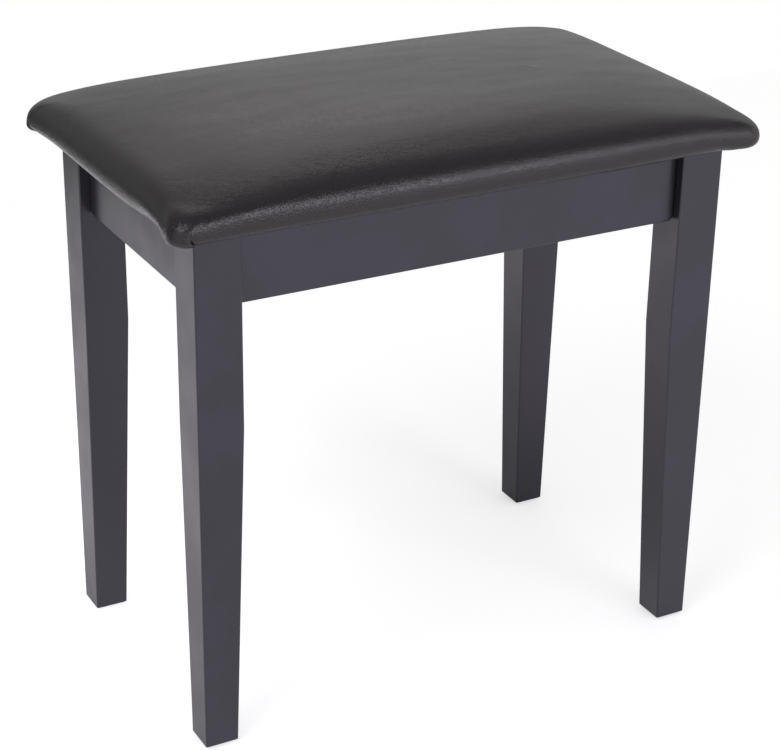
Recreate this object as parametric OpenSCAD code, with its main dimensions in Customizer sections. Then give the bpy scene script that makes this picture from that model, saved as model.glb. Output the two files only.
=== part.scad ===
// Piano bench with a fixed, upholstered seat on four bolted, tapered legs.
// X runs along the bench, Y from front to back, Z up from the floor.
// The origin lies on the floor at the middle of the bench.

/* [Seat] */
// Length of the seat over its cover
seat_l = 519; // [430:1:640]
// Width of the seat over its cover, front to back
seat_w = 317; // [262:1:400]
// Corner radius of the seat in plan
seat_corner = 28; // [18:1:45]
// Distance that the seat stands out past the legs' outer faces
overhang = 21.5; // [12:0.5:28]
// Height of the seat's widest line above its underside
nose_h = 16; // [14:0.5:24]
// Inset of the seat's underside from its widest line
under_roll = 10; // [6:0.5:12]
// Rise of the rounded edge above the widest line
edge_rise = 18; // [12:0.5:30]
// Width of the rounded edge, seen from above
edge_roll = 28; // [18:1:40]
// Further rise of the crown at the middle of the seat
crown = 12.5; // [4:0.5:24]

/* [Seat layers] */
// Thickness of the seat board
board_t = 12; // [9:0.5:18]
// Inset of the seat board's edge from the seat's widest line
board_inset = 12; // [12:0.5:16]
// Thickness of the cover
cover_t = 1; // [0.8:0.1:1.6]
// Width of the cover that is folded under the board
flap_w = 30; // [26:1:45]
// Thickness of the dust cover
dust_t = 0.5; // [0.4:0.1:1]

/* [Frame] */
// Height of the frame's top above the floor
frame_top = 452; // [376:1:545]
// Leg thickness along the bench, above the taper
leg_x = 39; // [32:0.5:48]
// Leg thickness across the bench, above the taper
leg_y = 37; // [32:0.5:48]
// Side of the square foot of a leg
foot = 29; // [22:0.5:32]
// Height at which the taper of the two inner faces of a leg ends
taper_top = 287; // [150:1:300]
// Radius of a leg's arrises
leg_round = 1.4; // [0.5:0.1:3]
// Size of the flat that is cut on a leg's inner corner
leg_flat = 14; // [10:0.5:18]
// Height of the aprons
apron_h = 64; // [50:1:80]
// Thickness of the aprons
apron_t = 16; // [13:0.5:20]
// Distance of an apron's face behind the legs' outer faces
apron_set = 9; // [6:0.5:12]
// Radius of an apron's two lower corners
apron_corner = 5; // [2:0.5:10]
// Radius of an apron's arrises
apron_round = 1.5; // [0.5:0.1:3]
// Side of the square battens that carry the seat screws
batten = 18; // [14:0.5:22]
// Clearance between a batten's end and a bracket's wing
batten_clear = 12; // [4:1:30]

/* [Corner brackets] */
// Thickness of the bracket plate
bracket_t = 2; // [1.5:0.1:3]
// Height of a bracket
bracket_h = 40; // [34:1:46]
// Length of a wing that lies on an apron
wing_len = 26; // [18:1:34]
// Length of the lip that sits in the saw kerf
lip = 5; // [3:0.5:6]
// Clearance of the lip in its kerf, all round
kerf_clear = 0.2; // [0.1:0.05:0.5]
// Gap between a leg's flat and the bracket's web
web_gap = 10; // [6:0.5:16]
// Height between the two screws of a wing
wing_pitch = 20; // [14:1:26]

/* [Fasteners] */
// Diameter of the hanger bolts
bolt_d = 8; // [6:0.5:10]
// Depth of a hanger bolt in its leg
bolt_in = 28; // [20:1:32]
// Length of thread that stands out past the nut
bolt_out = 6; // [2:0.5:12]
// Clearance of a bolt in its bracket hole and washers, on the diameter
bolt_clear = 0.6; // [0.4:0.1:1]
// Diameter of the wood screws
screw_d = 4; // [3:0.5:5]
// Depth of a bracket screw in its apron
bracket_bite = 12; // [8:0.5:12]
// Depth of a batten screw in its apron
batten_bite = 10; // [8:0.5:12]
// Depth of a seat screw in the seat board
seat_bite = 7.5; // [5:0.5:8]
// Clearance of screws, bolts, nails and staples in the wood, on the diameter
wood_clear = 0.1; // [0.05:0.05:0.2]
// Width of a staple over its crown
staple_w = 12; // [8:1:14]
// Thickness of the staple wire, along the staple's legs
staple_t = 0.5; // [0.4:0.1:0.5]
// Largest spacing of the staples
staple_pitch = 42; // [30:1:60]

/* [Floor glides] */
// Diameter of a glide
glide_d = 20; // [16:0.5:22]
// Thickness of a glide
glide_h = 2.5; // [2:0.5:5]
// Length of the nail that holds a glide
nail_l = 14; // [10:1:20]

/* [Hidden] */

$fn = 48;
arc_steps = 6;  // steps round each rounded corner of a lofted shape
past = 1;       // distance that a cut runs past the face it opens

// Frame
frame_l = seat_l - 2 * overhang;
frame_w = seat_w - 2 * overhang;
apron_z = frame_top - apron_h;
apron_in = apron_set + apron_t;     // from the legs' outer faces to an apron's inner face
foot_ease = 1;                      // chamfer round the bottom of a leg

// Corner, measured from the outer corner of a leg
flat_mid = (leg_x + leg_y - leg_flat) / 2;
wing_mid = apron_in + bracket_t / 2;
wing_start = 2 * flat_mid + sqrt(2) * (web_gap + bracket_t / 2) - wing_mid;
wing_end = wing_start + wing_len;
wing_screw = wing_start + wing_len / 2;
bracket_z = frame_top - apron_h / 2;

// Battens
batten_chamfer = 1.5;
batten_l = frame_l - 2 * (wing_end + bracket_t + batten_clear);
batten_end = 30;                    // from a batten's end to its first screw
batten_fixings = 4;                 // screws from one batten into its apron

// Bolts, nuts and washers
washer_d = 2 * bolt_d;
washer_t = bolt_d / 5;
spring_d = 1.7 * bolt_d;
spring_t = bolt_d / 4;
spring_slit = 1.2;
nut_af = 1.625 * bolt_d;
nut_t = 0.8 * bolt_d;
washer_at = web_gap + bracket_t;
spring_at = washer_at + washer_t;
nut_at = spring_at + spring_t;
bolt_end = nut_at + nut_t + bolt_out;
bolt_taper = 6;
bolt_tip = 1.2;

// Screws
head_d = 1.9 * screw_d;
head_h = 0.65 * screw_d;
recess_l = 1.1 * screw_d;
recess_w = 0.25 * screw_d;
recess_deep = 0.35 * screw_d;
screw_taper = 3.5;

// Seat layers, from the frame's top upwards
cover_z = frame_top + dust_t;
board_z = cover_z + cover_t;
board_l = seat_l - 2 * board_inset;
board_w = seat_w - 2 * board_inset;
nose_z = cover_z + nose_h;
dust_l = frame_l - 2 * (apron_set + 5);
dust_w = frame_w - 2 * (apron_set + 5);
roll_steps = 4;
crown_steps = 4;

// Staples
staple_wire = 1;
staple_leg = cover_t + staple_t + 5;
cover_row = apron_set + 1.5;        // cover staples, from the legs' outer faces
dust_row = apron_in + batten + 7;   // dust cover staples, from the legs' outer faces
dust_row_side = apron_in + 8;

// Glides
nail_d = 1.8;
glide_round = 1;

lacquer = [0.14, 0.14, 0.15];
zinc = [0.72, 0.73, 0.74];
raw_wood = [0.78, 0.64, 0.45];
leatherette = [0.11, 0.11, 0.12];

// ---- helpers ----

// Puts a shape drawn from a leg's outer corner at one corner of the frame.
module at_corner(side, end) {
    translate([side * frame_l / 2, end * frame_w / 2, 0])
        mirror([side > 0 ? 1 : 0, 0, 0])
            mirror([0, end > 0 ? 1 : 0, 0])
                children();
}

module at_corners() {
    for (side = [-1, 1], end = [-1, 1]) at_corner(side, end) children();
}

// Puts +Z along the hanger bolt, with zero on the leg's flat.
module on_bolt(out) {
    translate([flat_mid, flat_mid, bracket_z])
        rotate([0, 0, 45])
            translate([out, 0, 0])
                rotate([0, 90, 0])
                    children();
}

// Puts +Z along the screws of a corner's two wings, out of the bracket's face.
module on_wing_screws() {
    for (h = [-1, 1]) {
        translate([wing_screw, apron_in + bracket_t, bracket_z + h * wing_pitch / 2])
            rotate([-90, 0, 0])
                children();
        translate([apron_in + bracket_t, wing_screw, bracket_z + h * wing_pitch / 2])
            rotate([0, 90, 0])
                children();
    }
}

// Puts +Z along the screws that hold a batten to its apron, out of the batten.
module on_batten_screws(end) {
    step = (batten_l - 2 * batten_end) / (batten_fixings - 1);
    for (i = [0 : batten_fixings - 1])
        translate([-batten_l / 2 + batten_end + i * step,
                   end * (frame_w / 2 - apron_in - batten),
                   frame_top - batten / 2])
            rotate([end * 90, 0, 0])
                children();
}

// Puts +Z along the seat screws of a batten, down out of the batten.
module on_seat_screws(end) {
    step = (batten_l - 2 * batten_end) / (batten_fixings - 1);
    for (i = [0 : batten_fixings - 2])
        translate([-batten_l / 2 + batten_end + (i + 0.5) * step,
                   end * (frame_w / 2 - apron_in - batten / 2),
                   frame_top - batten])
            rotate([180, 0, 0])
                children();
}

// A pan-head wood screw with its head's underside at zero and its point below.
module screw(length) {
    r = screw_d / 2;
    difference() {
        rotate_extrude()
            polygon([[0, -length], [0.2 * r, -length], [r, screw_taper - length], [r, 0],
                     [head_d / 2, 0], [head_d / 2, 0.4 * head_h],
                     [0.4 * head_d, 0.8 * head_h], [0.25 * head_d, head_h], [0, head_h]]);
        for (turn = [0, 90])
            rotate([0, 0, turn])
                translate([-recess_l / 2, -recess_w / 2, head_h - recess_deep])
                    cube([recess_l, recess_w, recess_deep + past]);
    }
}

// The hole for a screw, open at the seat of its head.
module screw_hole(length) {
    translate([0, 0, -length]) cylinder(d = screw_d + wood_clear, h = length + past);
}

module rounded(length, width, radius) {
    square([length, width - 2 * radius], center = true);
    square([length - 2 * radius, width], center = true);
    for (x = [-1, 1], y = [-1, 1])
        translate([x * (length / 2 - radius), y * (width / 2 - radius)]) circle(radius);
}

// The points of one rounded corner, counter-clockwise from the angle start.
function corner_arc(x, y, radius, start, z) =
    [for (i = [0 : arc_steps])
        let (a = start + 90 * i / arc_steps)
        [x + radius * cos(a), y + radius * sin(a), z]];

// A rounded rectangle at height z, between two opposite corners.
function level(from, to, radius, z) =
    let (low = [from.x + radius, from.y + radius], high = [to.x - radius, to.y - radius])
    concat(corner_arc(high.x, high.y, radius, 0, z), corner_arc(low.x, high.y, radius, 90, z),
           corner_arc(low.x, low.y, radius, 180, z), corner_arc(high.x, low.y, radius, 270, z));

// Joins levels that have equally many points, from the lowest to the highest.
module loft(levels) {
    n = len(levels[0]);
    top = (len(levels) - 1) * n;
    sides = [for (i = [0 : len(levels) - 2], k = [0 : n - 1])
                let (a = i * n + k, b = i * n + (k + 1) % n)
                each [[a, a + n, b + n], [a, b + n, b]]];
    polyhedron([for (l = levels) each l],
               concat([[for (k = [0 : n - 1]) k]], sides, [[for (k = [n - 1 : -1 : 0]) top + k]]));
}

// ---- legs ----

function leg_level(width, depth, z, inset = 0) =
    level([inset, inset], [width - inset, depth - inset], leg_round, z);

module leg() {
    flat_z = bracket_z - bracket_h / 2 - 4;
    color(lacquer)
        difference() {
            loft([
                leg_level(foot, foot, glide_h, foot_ease),
                leg_level(foot, foot, glide_h + foot_ease),
                leg_level(leg_x, leg_y, taper_top),
                leg_level(leg_x, leg_y, frame_top)
            ]);
            translate([flat_mid, flat_mid, flat_z])
                rotate([0, 0, 45])
                    translate([0, -leg_x, 0])
                        cube([leg_x, 2 * leg_x, frame_top - flat_z + past]);
            on_bolt(-bolt_in) cylinder(d = bolt_d + wood_clear, h = bolt_in + past);
            translate([foot / 2, foot / 2, glide_h - past])
                cylinder(d = nail_d + wood_clear, h = nail_l + past);
        }
}

module leg_front_left() { at_corner(-1, -1) leg(); }
module leg_front_right() { at_corner(1, -1) leg(); }
module leg_rear_left() { at_corner(-1, 1) leg(); }
module leg_rear_right() { at_corner(1, 1) leg(); }

// ---- floor glides ----

module glide() {
    r = glide_d / 2;
    color([0.1, 0.1, 0.1])
        translate([foot / 2, foot / 2, 0]) {
            rotate_extrude()
                polygon([[0, 0], [r - glide_round, 0], [r - 0.3 * glide_round, 0.3 * glide_round],
                         [r, glide_round], [r, glide_h], [0, glide_h]]);
            cylinder(d = nail_d, h = glide_h + nail_l);
        }
}

module glide_front_left() { at_corner(-1, -1) glide(); }
module glide_front_right() { at_corner(1, -1) glide(); }
module glide_rear_left() { at_corner(-1, 1) glide(); }
module glide_rear_right() { at_corner(1, 1) glide(); }

// ---- aprons ----

// An apron's outline, its lower corners rounded, lying at height z with its foot on the X axis.
function apron_level(length, inset, z) =
    let (x = length / 2 - apron_corner, r = apron_corner - inset)
    concat([[length / 2 - inset, apron_h - inset, z], [inset - length / 2, apron_h - inset, z]],
           corner_arc(-x, apron_corner, r, 180, z), corner_arc(x, apron_corner, r, 270, z));

// An apron's board, its face on the X axis and its thickness along +Y.
module apron_board(length) {
    arris = [for (i = [0 : 3]) 30 * i];
    translate([0, apron_t, apron_z])
        rotate([90, 0, 0])
            loft(concat(
                [for (a = arris)
                    apron_level(length, apron_round * (1 - sin(a)), apron_round * (1 - cos(a)))],
                [for (a = arris)
                    apron_level(length, apron_round * (1 - cos(a)), apron_t - apron_round * (1 - sin(a)))]
            ));
}

// The saw kerfs of one corner, in the long and in the short apron.
module kerfs() {
    wide = bracket_t + 2 * kerf_clear;
    deep = lip + kerf_clear;
    translate([wing_end - wide / 2, apron_in - deep, apron_z - past])
        cube([wide, deep + past, apron_h + 2 * past]);
    translate([apron_in - deep, wing_end - wide / 2, apron_z - past])
        cube([deep + past, wide, apron_h + 2 * past]);
}

module long_apron(end) {
    color(lacquer)
        difference() {
            translate([0, end * (frame_w / 2 - apron_set), 0])
                mirror([0, end > 0 ? 1 : 0, 0])
                    apron_board(frame_l - 2 * leg_x);
            for (side = [-1, 1])
                at_corner(side, end) {
                    kerfs();
                    on_wing_screws() screw_hole(bracket_t + bracket_bite);
                }
            on_batten_screws(end) screw_hole(batten + batten_bite);
        }
}

module short_apron(side) {
    color(lacquer)
        difference() {
            translate([side * (frame_l / 2 - apron_set), 0, 0])
                rotate([0, 0, side * 90])
                    apron_board(frame_w - 2 * leg_y);
            for (end = [-1, 1])
                at_corner(side, end) {
                    kerfs();
                    on_wing_screws() screw_hole(bracket_t + bracket_bite);
                }
        }
}

module apron_front() { long_apron(-1); }
module apron_rear() { long_apron(1); }
module apron_left() { short_apron(-1); }
module apron_right() { short_apron(1); }

// ---- battens ----

module seat_batten(end) {
    c = batten_chamfer;
    color(raw_wood)
        difference() {
            translate([0, end * (frame_w / 2 - apron_in), frame_top - batten])
                mirror([0, end > 0 ? 1 : 0, 0])
                    rotate([90, 0, 90])
                        linear_extrude(batten_l, center = true)
                            polygon([[0, 0], [batten - c, 0], [batten, c], [batten, batten], [0, batten]]);
            on_batten_screws(end) screw_hole(batten + batten_bite);
            on_seat_screws(end) screw_hole(batten + past);
        }
}

module batten_front() { seat_batten(-1); }
module batten_rear() { seat_batten(1); }

// ---- corner brackets ----

module plate_run(from, to) {
    run = to - from;
    translate(from)
        rotate(atan2(run.y, run.x))
            translate([0, -bracket_t / 2])
                square([norm(run), bracket_t]);
}

// A pressed plate: lip, wing, diagonal web, wing and lip.
module bracket() {
    half = [[wing_end, apron_in - lip], [wing_end, wing_mid], [wing_start, wing_mid]];
    path = concat(half, [for (i = [2 : -1 : 0]) [half[i].y, half[i].x]]);
    color(zinc)
        difference() {
            translate([0, 0, bracket_z])
                linear_extrude(bracket_h, center = true) {
                    for (i = [0 : len(path) - 2]) plate_run(path[i], path[i + 1]);
                    for (i = [1 : len(path) - 2]) translate(path[i]) circle(d = bracket_t);
                }
            on_bolt(web_gap - past)
                cylinder(d = bolt_d + bolt_clear, h = bracket_t + 2 * past);
            on_wing_screws()
                translate([0, 0, -bracket_t - past])
                    cylinder(d = screw_d + wood_clear, h = bracket_t + 2 * past);
        }
}

module bracket_front_left() { at_corner(-1, -1) bracket(); }
module bracket_front_right() { at_corner(1, -1) bracket(); }
module bracket_rear_left() { at_corner(-1, 1) bracket(); }
module bracket_rear_right() { at_corner(1, 1) bracket(); }

// ---- bolts, washers and nuts ----

module ring(outer, inner, height) {
    difference() {
        cylinder(d = outer, h = height);
        translate([0, 0, -past]) cylinder(d = inner, h = height + 2 * past);
    }
}

module hanger_bolts() {
    r = bolt_d / 2;
    length = bolt_in + bolt_end;
    color(zinc)
        at_corners()
            on_bolt(-bolt_in)
                rotate_extrude()
                    polygon([[0, 0], [bolt_tip, 0], [r, bolt_taper], [r, length - 1],
                             [r - 1, length], [0, length]]);
}

module leg_washers() {
    color(zinc) at_corners() on_bolt(washer_at) ring(washer_d, bolt_d + bolt_clear, washer_t);
}

module leg_spring_washers() {
    color(zinc)
        at_corners()
            on_bolt(spring_at)
                difference() {
                    ring(spring_d, bolt_d + bolt_clear, spring_t);
                    translate([0, -spring_slit / 2, -past])
                        cube([spring_d, spring_slit, spring_t + 2 * past]);
                }
}

module leg_nuts() {
    cone = 0.16 * nut_t;
    color(zinc)
        at_corners()
            on_bolt(nut_at)
                difference() {
                    intersection() {
                        cylinder(d = nut_af / cos(30), h = nut_t, $fn = 6);
                        rotate_extrude()
                            polygon([[0, 0], [nut_af / 2, 0], [nut_af / 2 + 1.7 * cone, cone],
                                     [nut_af / 2 + 1.7 * cone, nut_t - cone],
                                     [nut_af / 2, nut_t], [0, nut_t]]);
                    }
                    translate([0, 0, -past]) cylinder(d = bolt_d + wood_clear, h = nut_t + 2 * past);
                }
}

// ---- wood screws ----

module bracket_screws() {
    color(zinc) at_corners() on_wing_screws() screw(bracket_t + bracket_bite);
}

module batten_screws() {
    color(zinc) for (end = [-1, 1]) on_batten_screws(end) screw(batten + batten_bite);
}

seat_screw_l = batten + board_z - frame_top + seat_bite;

module seat_screws() {
    color(zinc) for (end = [-1, 1]) on_seat_screws(end) screw(seat_screw_l);
}

// ---- staples ----

// Staple legs, standing up from the crown.
module staple_legs(clear = 0) {
    for (side = [-1, 1])
        translate([side * (staple_w - staple_t) / 2, 0, staple_leg / 2])
            cube([staple_t + clear, staple_wire + clear, staple_leg], center = true);
}

module staple() {
    translate([-staple_w / 2, -staple_wire / 2, 0]) cube([staple_w, staple_wire, staple_t]);
    staple_legs();
}

// Spreads staples round a rectangle, each along its edge.
module staple_ring(length, width, corner) {
    for (run = [[length, width, 0], [width, length, 90]]) {
        span = run[0] - 2 * corner;
        count = ceil(span / staple_pitch) + 1;
        for (side = [-1, 1], i = [0 : count - 1])
            rotate([0, 0, run[2]])
                translate([-span / 2 + i * span / (count - 1), side * run[1] / 2, 0])
                    children();
    }
}

module on_cover_staples() {
    translate([0, 0, cover_z - staple_t])
        staple_ring(frame_l - 2 * cover_row, frame_w - 2 * cover_row, 30) children();
}

module on_dust_staples() {
    translate([0, 0, frame_top - staple_t])
        staple_ring(frame_l - 2 * dust_row_side, frame_w - 2 * dust_row, 50) children();
}

module cover_staples() { color(zinc) on_cover_staples() staple(); }
module dust_staples() { color(zinc) on_dust_staples() staple(); }

// ---- seat ----

// One level of the cushion, drawn in from its widest line.
function seat_level(inset, z) =
    let (x = seat_l / 2 - inset, y = seat_w / 2 - inset)
    level([-x, -y], [x, y], max(1, seat_corner - 0.6 * inset), z);

// The cushion's whole form, or the same form a little smaller all round.
module seat_form(shrink) {
    top = edge_rise - shrink;
    reach = 0.95 * (seat_w / 2 - edge_roll);
    loft(concat(
        [for (i = [0 : roll_steps])
            let (a = 90 * i / roll_steps)
            seat_level(under_roll * (1 - sin(a)) + shrink,
                       cover_z + shrink + (nose_h - shrink) * (1 - cos(a)))],
        [for (i = [1 : roll_steps])
            let (a = 90 * i / roll_steps)
            seat_level(edge_roll * (1 - cos(a)) + shrink, nose_z + top * sin(a))],
        [for (i = [1 : crown_steps])
            let (q = i / crown_steps)
            seat_level(edge_roll + shrink + (reach - shrink) * q,
                       nose_z + top + crown * (1 - (1 - q) * (1 - q)))]
    ));
}

module board_blank() {
    translate([0, 0, board_z])
        linear_extrude(board_t)
            rounded(board_l, board_w, seat_corner - board_inset / 2);
}

module seat_board() {
    color(raw_wood)
        difference() {
            board_blank();
            on_cover_staples() staple_legs(wood_clear);
            on_dust_staples() staple_legs(wood_clear);
            for (end = [-1, 1]) on_seat_screws(end) screw_hole(seat_screw_l);
        }
}

module seat_foam() {
    color([0.85, 0.82, 0.7])
        difference() {
            seat_form(cover_t);
            board_blank();
        }
}

// The cover wraps the foam and the board, and its flap is open in the middle.
module seat_cover() {
    color(leatherette)
        difference() {
            seat_form(0);
            seat_form(cover_t);
            translate([0, 0, cover_z - past])
                linear_extrude(cover_t + 2 * past)
                    square([board_l - 2 * flap_w, board_w - 2 * flap_w], center = true);
            on_cover_staples() staple_legs(wood_clear);
        }
}

module dust_cover() {
    color([0.08, 0.08, 0.08])
        difference() {
            translate([-dust_l / 2, -dust_w / 2, frame_top]) cube([dust_l, dust_w, dust_t]);
            on_dust_staples() staple_legs(wood_clear);
            for (end = [-1, 1]) on_seat_screws(end) screw_hole(seat_screw_l);
        }
}

leg_front_left();
leg_front_right();
leg_rear_left();
leg_rear_right();
glide_front_left();
glide_front_right();
glide_rear_left();
glide_rear_right();
apron_front();
apron_rear();
apron_left();
apron_right();
batten_front();
batten_rear();
bracket_front_left();
bracket_front_right();
bracket_rear_left();
bracket_rear_right();
hanger_bolts();
leg_washers();
leg_spring_washers();
leg_nuts();
bracket_screws();
batten_screws();
seat_screws();
seat_board();
seat_foam();
seat_cover();
dust_cover();
cover_staples();
dust_staples();
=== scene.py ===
import math
import bpy
import numpy as np
from mathutils import Matrix, Vector, kdtree


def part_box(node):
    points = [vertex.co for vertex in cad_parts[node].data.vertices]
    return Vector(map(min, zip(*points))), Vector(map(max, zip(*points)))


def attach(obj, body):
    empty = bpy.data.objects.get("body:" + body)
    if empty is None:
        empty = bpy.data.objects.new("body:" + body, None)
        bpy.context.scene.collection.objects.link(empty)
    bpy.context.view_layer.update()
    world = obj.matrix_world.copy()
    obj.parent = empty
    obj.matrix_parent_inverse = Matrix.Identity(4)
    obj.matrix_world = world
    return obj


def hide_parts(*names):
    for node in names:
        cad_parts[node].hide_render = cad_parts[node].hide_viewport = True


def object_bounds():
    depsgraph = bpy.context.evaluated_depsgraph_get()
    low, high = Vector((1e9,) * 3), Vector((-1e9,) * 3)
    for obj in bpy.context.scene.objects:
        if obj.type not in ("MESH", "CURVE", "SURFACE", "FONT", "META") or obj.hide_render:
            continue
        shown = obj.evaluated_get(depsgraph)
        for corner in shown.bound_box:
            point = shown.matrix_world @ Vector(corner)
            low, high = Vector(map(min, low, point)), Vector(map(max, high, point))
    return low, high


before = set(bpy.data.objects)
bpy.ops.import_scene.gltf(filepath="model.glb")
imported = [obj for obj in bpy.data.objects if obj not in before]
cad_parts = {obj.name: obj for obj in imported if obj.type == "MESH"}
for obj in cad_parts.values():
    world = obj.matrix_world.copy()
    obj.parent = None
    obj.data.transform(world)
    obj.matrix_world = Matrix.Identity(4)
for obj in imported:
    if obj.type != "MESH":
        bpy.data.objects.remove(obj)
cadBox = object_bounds()
mm = 0.001


# camera: low front-left corner view with a long lens
cameraSet = {
    "place": (-0.8034, -1.4693, 1.0175),
    "turn": 28.38,     # degrees towards +X from straight ahead
    "tilt": 25.52,     # degrees down
    "roll": 0.80,
    "lens": 97.77,
    "sensor": 36.0,
    "shift": (0.0165, 0.0202),
}


def makeCamera():
    c = cameraSet
    data = bpy.data.cameras.new("viewCamera")
    data.lens = c["lens"]
    data.sensor_width = c["sensor"]
    data.sensor_fit = "HORIZONTAL"
    data.shift_x, data.shift_y = c["shift"]
    camera = bpy.data.objects.new("viewCamera", data)
    bpy.context.scene.collection.objects.link(camera)
    turn = Matrix.Rotation(math.radians(-c["turn"]), 4, "Z")
    tilt = Matrix.Rotation(math.radians(90 - c["tilt"]), 4, "X")
    roll = Matrix.Rotation(math.radians(c["roll"]), 4, "Z")
    camera.matrix_world = Matrix.Translation(c["place"]) @ turn @ tilt @ roll
    bpy.context.scene.camera = camera
    print("camera placed")


makeCamera()


# one node with its settings and links. A key is the name or number of a socket, or a property: a Mix
# of colours has its factor at 0 and the colours at 6 and 7. A link starts at a socket, or at the first
# one that a node gives
def addNode(tree, kind, settings=None, links=None):
    node = tree.nodes.new(kind)
    for key, value in (settings or {}).items():
        if isinstance(key, int) or key in node.inputs:
            node.inputs[key].default_value = value
        else:
            setattr(node, key, value)
    for key, source in (links or {}).items():
        if isinstance(source, bpy.types.Node):
            source = next(output for output in source.outputs if output.enabled)
        tree.links.new(source, node.inputs[key])
    return node


# sRGB hex to the linear colour that the sockets take
def colour(text):
    parts = [int(text[i:i + 2], 16) / 255 for i in (1, 3, 5)]
    linear = [p / 12.92 if p <= 0.04045 else ((p + 0.055) / 1.055) ** 2.4 for p in parts]
    return (*linear, 1.0)


# the emptied node tree of a material or world
def emptyTree(owner):
    owner.use_nodes = True
    owner.node_tree.nodes.clear()
    return owner.node_tree


# a material, its tree, and the place on the object that its patterns follow
def newMaterial(name):
    material = bpy.data.materials.new(name)
    tree = emptyTree(material)
    return material, tree, addNode(tree, "ShaderNodeTexCoord").outputs["Object"]


def finishMaterial(tree, settings, links):
    shader = addNode(tree, "ShaderNodeBsdfPrincipled", settings, links)
    addNode(tree, "ShaderNodeOutputMaterial", links={"Surface": shader})


eased = {"interpolation_type": "SMOOTHSTEP"}     # for a Map Range that levels off at both its ends


# studio: a sheet of white paper that ends behind the bench, bright surroundings in front, dimmer
# ones behind and overhead, and three soft lamps: low in front, behind, and to the left; the paper's glow
# carries a painted pool of light on the bench's left and painted shade under the bench
studioSet = {
    "paper": ((-2.6, -3.2), (2.6, 1.20)),     # two corners of the sheet
    "paperColour": "#eeeeee",
    "sightLift": 0.56,               # light added where the paper is seen straight
    "mirrorLift": 0.42,              # and where it is seen mirrored or through glass
    "paintedPoolAt": (-0.70, 0.42, 0),      # painted pool of light: more of it on the bench's left, less with the distance in metres
    "paintedPoolRange": {"From Min": 0.0, "From Max": 1.00, "To Min": 0.48, "To Max": 0.0},
    "paintedPoolColour": "#fbf3ff",
    "paintedShadeAt": (0.13, 0.24, 0),      # painted shade: less of it where the bench's own shade is mirrored
    "paintedShadeRange": {"From Min": 0.2025, "From Max": 0.45, "To Min": -0.32, "To Max": 0.0},
    "frontLevel": 1.0,               # brightness of the surroundings in front
    "backRange": {"From Min": -0.35, "From Max": 0.25},
    "sideRange": {"From Min": -0.45, "From Max": 0.62, "To Min": 0.2852, "To Max": 0.5612},     # and behind
    "lowLevel": 0.10,                # below the horizon, behind the paper's end
    "lowRange": {"From Min": 0.02, "From Max": -0.16},
    "ceilingLevel": 0.32,            # and overhead
    "ceilingRange": {"From Min": 0.42, "From Max": 0.66},
    "mirrorShare": 0.12,             # how far the surroundings turn to white where they are mirrored
    "lamps": {
        "frontLamp": {"at": (0.74, -1.95, 0.76), "size": (1.10, 0.95), "level": 2.9, "tint": "#eff3ff"},
        "backLamp": {"at": (0.98, 2.00, 1.62), "size": (0.97, 0.58), "level": 0.62, "tint": "#fff9f7"},
        "leftLamp": {"at": (-1.44, -0.78, 2.20), "size": (0.95, 0.95), "level": 3.8, "tint": "#f8f5ff"},
    },
}


# whether a ray comes from the camera, and whether it is mirrored or passes through
def raysSeen(tree):
    sight = addNode(tree, "ShaderNodeLightPath")
    mirrored = addNode(tree, "ShaderNodeMath", {"operation": "MAXIMUM"},
                       {0: sight.outputs["Is Glossy Ray"], 1: sight.outputs["Is Transmission Ray"]})
    return sight.outputs["Is Camera Ray"], mirrored


def makeSurroundings():
    s = studioSet
    world = bpy.data.worlds.new("whiteStudio")
    bpy.context.scene.world = world
    tree = emptyTree(world)
    place = addNode(tree, "ShaderNodeTexCoord")
    split = addNode(tree, "ShaderNodeSeparateXYZ", links={"Vector": place.outputs["Generated"]})
    side = addNode(tree, "ShaderNodeMapRange", {**eased, **s["sideRange"]}, {"Value": split.outputs["X"]})
    behind = addNode(tree, "ShaderNodeMapRange", {**eased, **s["backRange"]}, {"Value": split.outputs["Y"]})
    back = addNode(tree, "ShaderNodeMix", {"data_type": "FLOAT", "A": s["frontLevel"]},
                   {"Factor": behind, "B": side})
    below = addNode(tree, "ShaderNodeMapRange", {**eased, **s["lowRange"]}, {"Value": split.outputs["Z"]})
    under = addNode(tree, "ShaderNodeMath", {"operation": "MULTIPLY"}, {0: below, 1: behind})
    low = addNode(tree, "ShaderNodeMix", {"data_type": "FLOAT", "B": s["lowLevel"]},
                  {"Factor": under, "A": back})
    high = addNode(tree, "ShaderNodeMapRange", {**eased, **s["ceilingRange"]}, {"Value": split.outputs["Z"]})
    level = addNode(tree, "ShaderNodeMix", {"data_type": "FLOAT", "B": s["ceilingLevel"]},
                    {"Factor": high, "A": low})
    sight, mirrored = raysSeen(tree)
    share = addNode(tree, "ShaderNodeMath", {"operation": "MULTIPLY_ADD", 1: s["mirrorShare"]},
                    {0: mirrored, 2: sight})
    shown = addNode(tree, "ShaderNodeMix", {"data_type": "FLOAT", "B": 1.0}, {"Factor": share, "A": level})
    light = addNode(tree, "ShaderNodeBackground", {"Color": (1, 1, 1, 1)}, {"Strength": shown})
    addNode(tree, "ShaderNodeOutputWorld", links={"Surface": light})


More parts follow.
